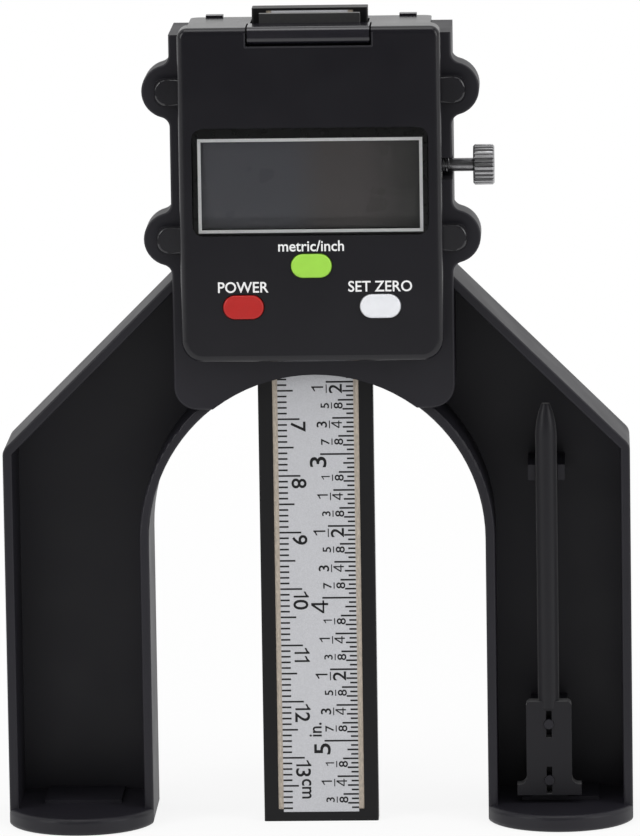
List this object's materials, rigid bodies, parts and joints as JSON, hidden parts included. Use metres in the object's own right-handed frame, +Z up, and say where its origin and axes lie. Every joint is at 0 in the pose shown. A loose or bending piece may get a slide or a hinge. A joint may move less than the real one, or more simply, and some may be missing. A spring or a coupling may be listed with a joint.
{
  "type": "digital height gauge",
  "caption": "Arch stand on two magnetic feet with a sliding scale blade, a display module with push buttons, a lock screw and a stored measuring pin.",
  "frame": {"origin": "on the table, in the middle under the stand", "axes": "+Z up along the blade, -Y the way the display faces, +X to the right of someone who reads it, where the lock screw is"},
  "size_m": [0.109, 0.038, 0.1431],
  "materials": {
    "black_moulding": "fine satin",
    "plated_steel": "bright zinc plate",
    "magnet": "nickel plate",
    "window": "gloss",
    "display_glass": "gloss",
    "connector_rubber": "matte",
    "circuit_board": "satin",
    "contact_brass": "bright",
    "felt": "felt",
    "scale_laminate": "matte",
    "scale_metal": "satin",
    "red_button": "satin",
    "green_button": "satin",
    "white_button": "satin",
    "cell_steel": "satin",
    "knob_metal": "turned"
  },
  "bodies": {
    "stand": {"stand_frame": "black_moulding", "front_cover": "black_moulding", "case_screws": "plated_steel", "foot_magnets": "magnet", "display_window": "window", "lcd_panel": "display_glass", "lcd_connector": "connector_rubber", "main_board": "circuit_board", "sensor_board": "circuit_board", "board_screws": "plated_steel", "key_domes": "plated_steel", "battery_contacts": "contact_brass", "wiper_felt": "felt", "gib_spring": "plated_steel", "lock_nut": "contact_brass"},
    "blade": {"blade_beam": "black_moulding", "scale_board": "scale_laminate", "scale_plate": "scale_metal"},
    "power_key": {"power_button": "red_button"},
    "units_key": {"units_button": "green_button"},
    "zero_key": {"zero_button": "white_button"},
    "battery_drawer": {"battery_tray": "black_moulding", "coin_cell": "cell_steel"},
    "lock_tip": {"lock_pad": "contact_brass"},
    "lock_handle": {"lock_screw": "plated_steel", "lock_knob": "knob_metal"},
    "stored_pin": {"measuring_pin": "black_moulding"}
  },
  "joints": [
    {"name": "blade_slide", "type": "slide", "parent": "stand", "child": "blade", "axis": [0, 0, 1], "range_m": [0, 0.08]},
    {"name": "power_press", "type": "slide", "parent": "stand", "child": "power_key", "axis": [0, 1, 0], "range_m": [0, 0.0006], "stiffness_N_per_m": 400, "springref_m": -0.0005},
    {"name": "units_press", "type": "slide", "parent": "stand", "child": "units_key", "axis": [0, 1, 0], "range_m": [0, 0.0006], "stiffness_N_per_m": 400, "springref_m": -0.0005},
    {"name": "zero_press", "type": "slide", "parent": "stand", "child": "zero_key", "axis": [0, 1, 0], "range_m": [0, 0.0006], "stiffness_N_per_m": 400, "springref_m": -0.0005},
    {"name": "battery_slide", "type": "slide", "parent": "stand", "child": "battery_drawer", "axis": [0, 0, 1], "range_m": [0, 0.025]},
    {"name": "lock_feed", "type": "slide", "parent": "stand", "child": "lock_tip", "axis": [1, 0, 0], "range_m": [-0.0001, 0.00135]},
    {"name": "lock_turn", "type": "hinge", "parent": "lock_tip", "child": "lock_handle", "pos_m": [0.017, -0.005, 0.1153], "axis": [1, 0, 0], "range_deg": [-80.5, 1080.5]},
    {"name": "pin_release", "type": "slide", "parent": "stand", "child": "stored_pin", "axis": [0, -1, 0], "range_m": [0, 0.03]}
  ],
  "couplings": [
    {"joint": "lock_turn", "follows": "lock_feed", "rad_per_m": 13963}
  ]
}
